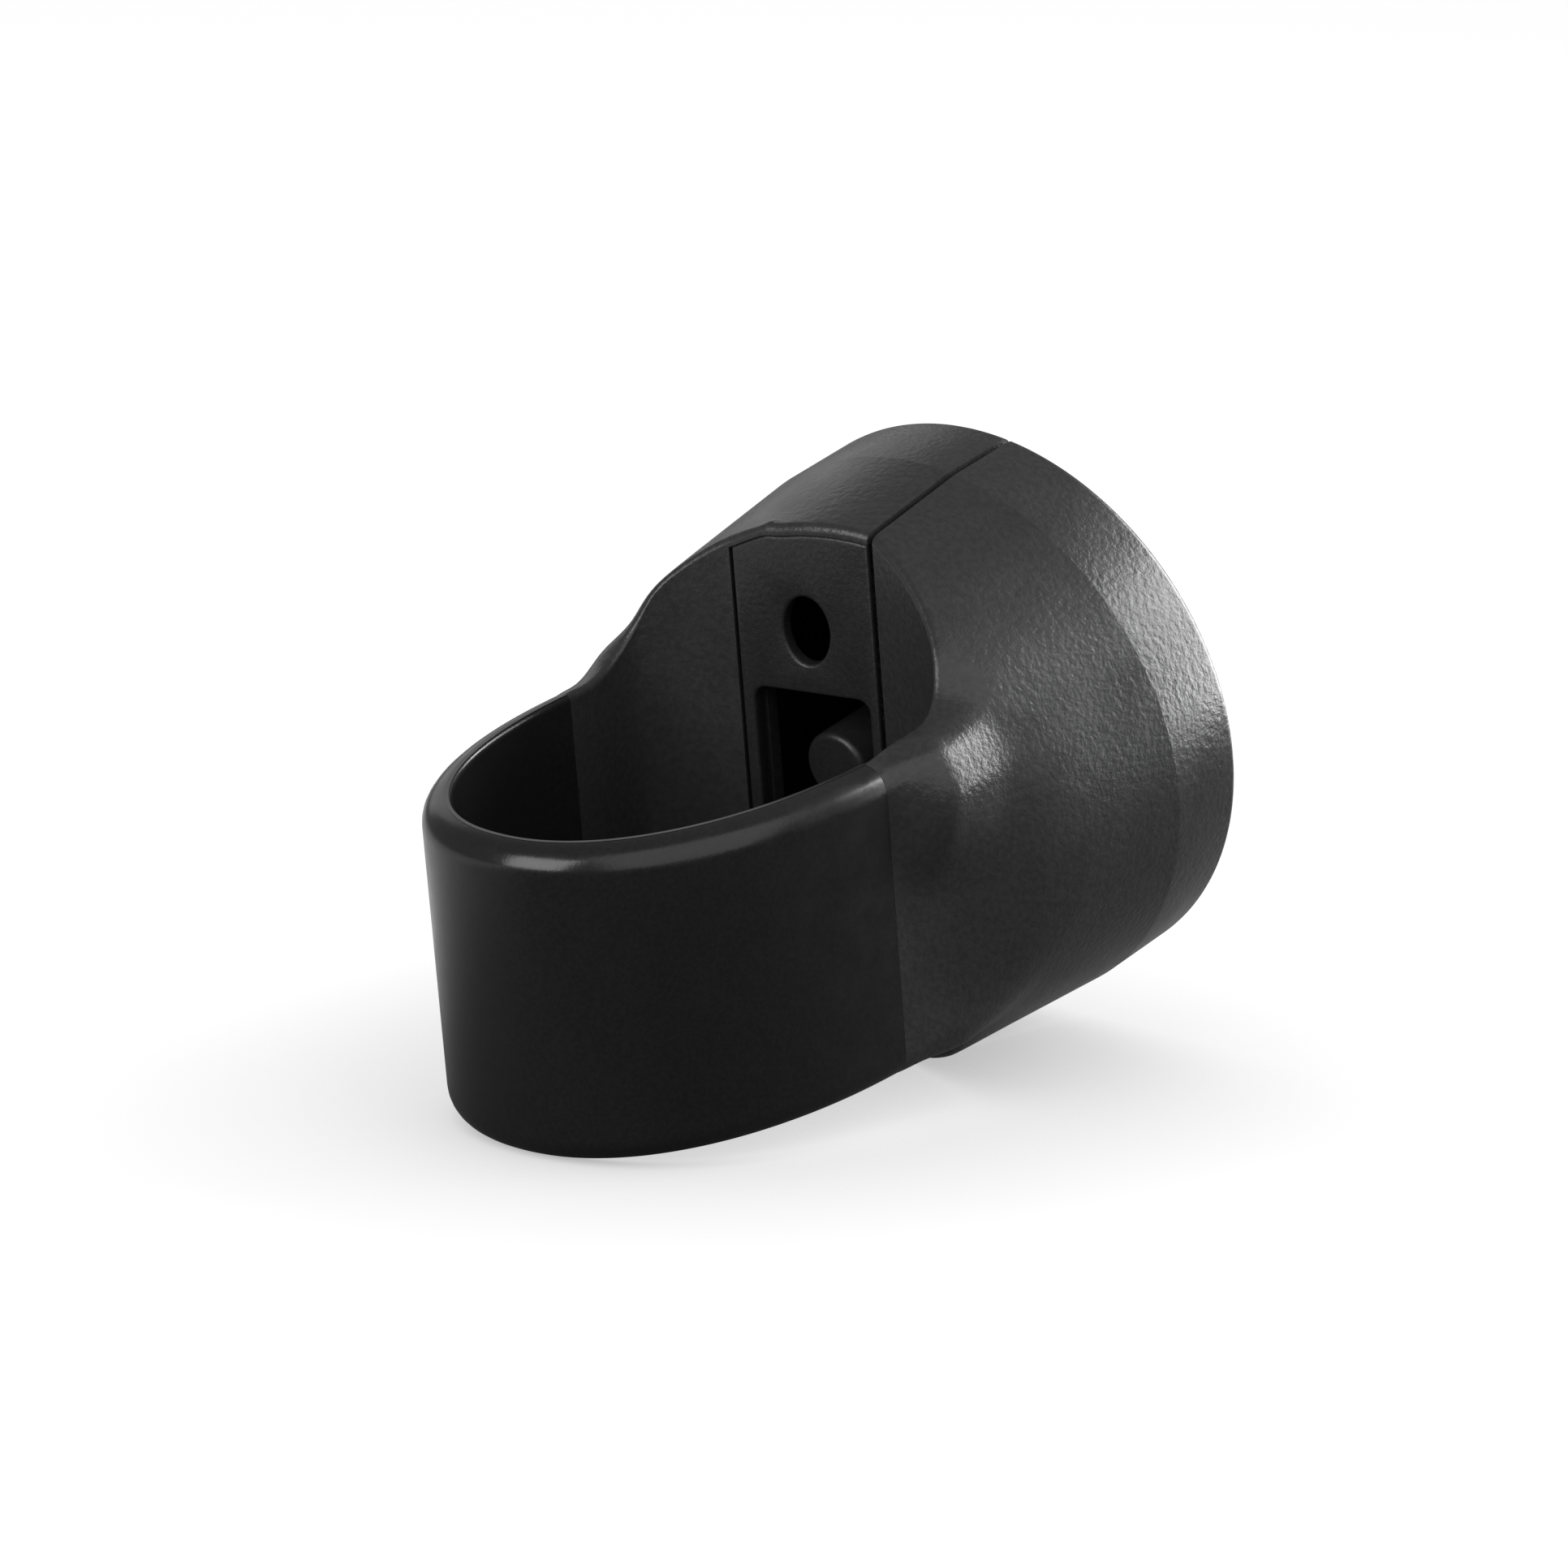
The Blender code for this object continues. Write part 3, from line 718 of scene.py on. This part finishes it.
def make_post():
    start = (head_frame().inverted() @ (wall_frame(POST_RECESS) @ Vector((OPENING_PLACE, POST_LIFT, 0)))).z
    length = front_inside() - FIT_GAP - start
    quarter = [math.pi / 2 * i / ROUND_STEPS for i in range(ROUND_STEPS + 1)]
    end = [(POST_RADIUS - POST_ROUND * (1 - math.sin(a)), POST_ROUND * (1 - math.cos(a))) for a in quarter]
    return turned("wall_post_turned", post_frame(start), end + [(POST_RADIUS, length)])


def strap_profile():
    """The band's section: distance outwards from the hole, and height."""
    half = LOOP_HEIGHT / 2
    quarter = [math.pi / 2 * i / ROUND_STEPS for i in range(ROUND_STEPS + 1)]
    inner = [(LIP_ROUND * (1 - math.cos(a)), half - LIP_ROUND * (1 - math.sin(a))) for a in quarter]
    centre = Vector((STRAP_WALL - STRAP_ROUND, half - STRAP_ROUND))
    outer = [(centre.x + STRAP_ROUND * math.sin(a), centre.y + STRAP_ROUND * math.cos(a)) for a in quarter]
    top = inner + outer
    return top + [(distance, -level) for distance, level in top[::-1]]


def make_strap():
    """The band swept round the hole's end, flush with both arms."""
    start = math.asin(((STRAP_PLACE - WIDEST_PLACE) / BEND_LENGTH) ** (BEND_POWER / 2))
    steps = 4 * BEND_STEPS
    nudge = 0.01
    rings = []
    for i in range(steps + 1):
        angle = start + (math.pi - 2 * start) * i / steps
        place = bend_point(angle)
        tangent = bend_point(angle + nudge) - bend_point(angle - nudge)
        outwards = Vector((tangent.y, -tangent.x)).normalized()
        rings.append([(*(place + outwards * distance), level) for distance, level in strap_profile()])
    return loft("finger_strap_band", rings)


# The frame

def loop_frame(joint):
    """The loop's own frame in the CAD frame, from the hinge in its bend."""
    up = -Vector(joint["axis"]).normalized()
    left = Vector((0, 1, 0))
    ahead = left.cross(up)
    frame = Matrix((ahead, left, up)).transposed().to_4x4()
    frame.translation = Vector(joint["pos_m"]) + ahead * (WIDEST_PLACE + BEND_LENGTH - HINGE_INSET)
    return frame


def mark_band(mesh):
    """Keeps the shallow edge between the band and the cone crisp."""
    inwards = head_frame(-BAND_LENGTH).inverted()
    on_edge = []
    for vertex in mesh.vertices:
        place = inwards @ vertex.co
        on_edge.append(abs(place.z) < NEAR and place.xy.length > HEAD_RADIUS - SHELL_WALL / 2)
    for edge in mesh.edges:
        if all(on_edge[v] for v in edge.vertices):
            edge.use_edge_sharp = True


def settle(piece, frame_matrix, node, material):
    """Moves a piece from the loop's frame to the CAD frame, smooths it and lets it stand for its node."""
    piece.data.shade_smooth()
    piece.data.set_sharp_from_angle(angle=SMOOTH_ANGLE)
    mark_band(piece.data)
    piece.data.transform(frame_matrix)
    piece.data.materials.clear()
    piece.data.materials.append(material)
    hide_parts(node)
    return piece


# Materials

def node_at(tree, kind, **values):
    node = tree.nodes.new(kind)
    for name, value in values.items():
        if name in node.inputs:
            node.inputs[name].default_value = value
        else:
            setattr(node, name, value)
    return node


def moulded_plastic(name, grey, roughness, grain, depth):
    """Black plastic with a moulded grain of that size and depth, and slightly uneven gloss."""
    material = bpy.data.materials.new(name)
    material.use_nodes = True
    tree = material.node_tree
    link = tree.links.new
    shader = tree.nodes["Principled BSDF"]
    place = node_at(tree, "ShaderNodeTexCoord").outputs["Object"]

    pebbles = node_at(tree, "ShaderNodeTexNoise", Scale=1 / grain, Detail=2.5, Roughness=0.55)
    link(place, pebbles.inputs["Vector"])
    bump = node_at(tree, "ShaderNodeBump", Strength=1.0, Distance=depth)
    link(pebbles.outputs["Fac"], bump.inputs["Height"])
    link(bump.outputs["Normal"], shader.inputs["Normal"])

    gloss = node_at(tree, "ShaderNodeTexNoise", Scale=GLOSS_SCALE / grain, Detail=3.0)
    link(place, gloss.inputs["Vector"])
    spread = node_at(tree, "ShaderNodeMapRange")
    spread.inputs["From Min"].default_value = GLOSS_NOISE[0]
    spread.inputs["From Max"].default_value = GLOSS_NOISE[1]
    spread.inputs["To Min"].default_value = roughness - GLOSS_SPREAD
    spread.inputs["To Max"].default_value = roughness + GLOSS_SPREAD
    link(gloss.outputs["Fac"], spread.inputs["Value"])
    link(spread.outputs["Result"], shader.inputs["Roughness"])

    tint = node_at(tree, "ShaderNodeValToRGB")
    for element, position, shares in zip(tint.color_ramp.elements, TINT_NOISE, (TINT_LOW, TINT_HIGH)):
        element.position = position
        element.color = (*(grey * share for share in shares), 1)
    link(pebbles.outputs["Fac"], tint.inputs["Fac"])
    link(tint.outputs["Color"], shader.inputs["Base Color"])
    return material


def floor_material():
    """White to the camera, with a soft painted shadow round the object. To the object it is darker in front.
    """
    material = bpy.data.materials.new("white floor")
    material.use_nodes = True
    tree = material.node_tree
    link = tree.links.new
    shader = tree.nodes["Principled BSDF"]
    shader.inputs["Roughness"].default_value = 0.9
    shader.inputs["Specular IOR Level"].default_value = 0.0
    shader.inputs["Emission Color"].default_value = (1, 1, 1, 1)
    path = node_at(tree, "ShaderNodeLightPath")
    # Painted shadow: ambient occlusion near the object dims the glow that the camera sees
    painted_shadow_ao = node_at(tree, "ShaderNodeAmbientOcclusion", Distance=FLOOR_SHADE)
    glow = node_at(tree, "ShaderNodeMapRange")
    glow.inputs["To Min"].default_value = FLOOR_GLOW * (1 - FLOOR_LOSS)
    glow.inputs["To Max"].default_value = FLOOR_GLOW
    link(painted_shadow_ao.outputs["AO"], glow.inputs["Value"])
    lift = node_at(tree, "ShaderNodeMath", operation="MULTIPLY")
    link(path.outputs["Is Camera Ray"], lift.inputs[0])
    link(glow.outputs["Result"], lift.inputs[1])
    link(lift.outputs["Value"], shader.inputs["Emission Strength"])
    back = math.radians(FLOOR_COMPASS)
    depth = node_at(tree, "ShaderNodeVectorMath", operation="DOT_PRODUCT")
    depth.inputs[1].default_value = (math.cos(back), math.sin(back), 0)
    link(node_at(tree, "ShaderNodeTexCoord").outputs["Object"], depth.inputs[0])
    bounce = node_at(tree, "ShaderNodeMapRange", interpolation_type="SMOOTHSTEP")
    bounce.inputs["From Min"].default_value = FLOOR_FADE[0]
    bounce.inputs["From Max"].default_value = FLOOR_FADE[1]
    bounce.inputs["To Min"].default_value = FLOOR_FRONT
    bounce.inputs["To Max"].default_value = FLOOR_BACK
    link(depth.outputs["Value"], bounce.inputs["Value"])
    shade = node_at(tree, "ShaderNodeMapRange")
    shade.inputs["To Max"].default_value = FLOOR_WHITE
    link(path.outputs["Is Camera Ray"], shade.inputs["Value"])
    link(bounce.outputs["Result"], shade.inputs["To Min"])
    link(shade.outputs["Result"], shader.inputs["Base Color"])
    return material


# Floor, light and camera

def add_floor():
    bm = bmesh.new()
    bmesh.ops.create_circle(bm, cap_ends=True, segments=FLOOR_STEPS, radius=FLOOR_RADIUS)
    mesh = bpy.data.meshes.new("floor")
    bm.to_mesh(mesh)
    bm.free()
    floor = add_object("floor", mesh)
    floor.data.materials.append(floor_material())


def add_world():
    world = bpy.data.worlds.new("white studio")
    bpy.context.scene.world = world
    world.use_nodes = True
    tree = world.node_tree
    link = tree.links.new
    tree.nodes.clear()
    seen = node_at(tree, "ShaderNodeBackground", Color=(1, 1, 1, 1), Strength=1.0)
    light = node_at(tree, "ShaderNodeBackground", Color=(1, 1, 1, 1), Strength=ROOM_LIGHT)
    mix = node_at(tree, "ShaderNodeMixShader")
    path = node_at(tree, "ShaderNodeLightPath")
    output = node_at(tree, "ShaderNodeOutputWorld")
    link(path.outputs["Is Camera Ray"], mix.inputs["Fac"])
    link(light.outputs["Background"], mix.inputs[1])
    link(seen.outputs["Background"], mix.inputs[2])
    link(mix.outputs["Shader"], output.inputs["Surface"])


def add_lamp(name, target, compass, height, width, radiance):
    """A square soft box that faces the object. Compass 0 is +X and 90 is +Y, in degrees."""
    compass, height = math.radians(compass), math.radians(height)
    level = math.cos(height)
    direction = Vector((math.cos(compass) * level, math.sin(compass) * level, math.sin(height)))
    light = bpy.data.lights.new(name, "AREA")
    light.size = width
    light.energy = radiance * math.pi * width ** 2
    lamp = add_object(name, light)
    lamp.location = target + direction * LAMP_DISTANCE
    lamp.rotation_euler = (-direction).to_track_quat("-Z", "Y").to_euler()


def add_camera(frame_matrix):
    """The photograph's camera, placed in the loop's frame."""
    data = bpy.data.cameras.new("photo camera")
    data.sensor_width = SENSOR
    data.sensor_fit = "HORIZONTAL"
    data.lens = FOCAL_PIXELS / IMAGE_SIZE * SENSOR
    data.clip_start = 0.01
    camera = add_object("photo camera", data)
    right, down = Vector(CAMERA_RIGHT), Vector(CAMERA_DOWN)
    back = right.cross(-down).normalized()
    up = back.cross(right).normalized()
    view = Matrix((right.normalized(), up, back)).transposed().to_4x4()
    view.translation = Vector(CAMERA_PLACE) * HEAD_RADIUS + Vector((0, 0, HEAD_LIFT))
    camera.matrix_world = frame_matrix @ view
    bpy.context.scene.camera = camera


def main():
    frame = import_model()
    matrix = loop_frame(frame["joints"][0])
    bpy.context.scene.view_settings.view_transform = "Standard"

    cup_plastic = moulded_plastic("grained black plastic", *CUP_FINISH)
    wall_plastic = moulded_plastic("fine black plastic", *WALL_FINISH)
    post_plastic = moulded_plastic("satin black plastic", *POST_FINISH)
    strap_rubber = moulded_plastic("satin black rubber", *STRAP_FINISH)

    head = head_solid("head")
    skin = BVHTree.FromObject(head, bpy.context.evaluated_depsgraph_get())
    left = settle(make_left_shell(head, skin), matrix, "left_shell", cup_plastic)
    right_cup = make_cup("right_shell_skin", -1, head, skin)
    right = settle(right_cup, matrix, "right_shell", cup_plastic)
    bpy.data.objects.remove(head)
    plate = settle(make_plate(skin), matrix, "inner_wall", wall_plastic)
    post = settle(make_post(), matrix, "wall_post", post_plastic)
    strap = settle(make_strap(), matrix, "finger_strap", strap_rubber)
    for piece in (left, plate, post):
        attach(piece, "left_cup")
    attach(right, "right_cup")
    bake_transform(strap)

    add_floor()
    add_world()
    add_camera(matrix)
    middle = matrix @ Vector((-STRAP_PLACE, 0, 0))
    add_lamp("key lamp", middle, *KEY_LAMP)
    add_lamp("left lamp", middle, *LEFT_LAMP)
    add_lamp("front lamp", middle, *FRONT_LAMP)
    add_lamp("back lamp", middle, *BACK_LAMP)


main()
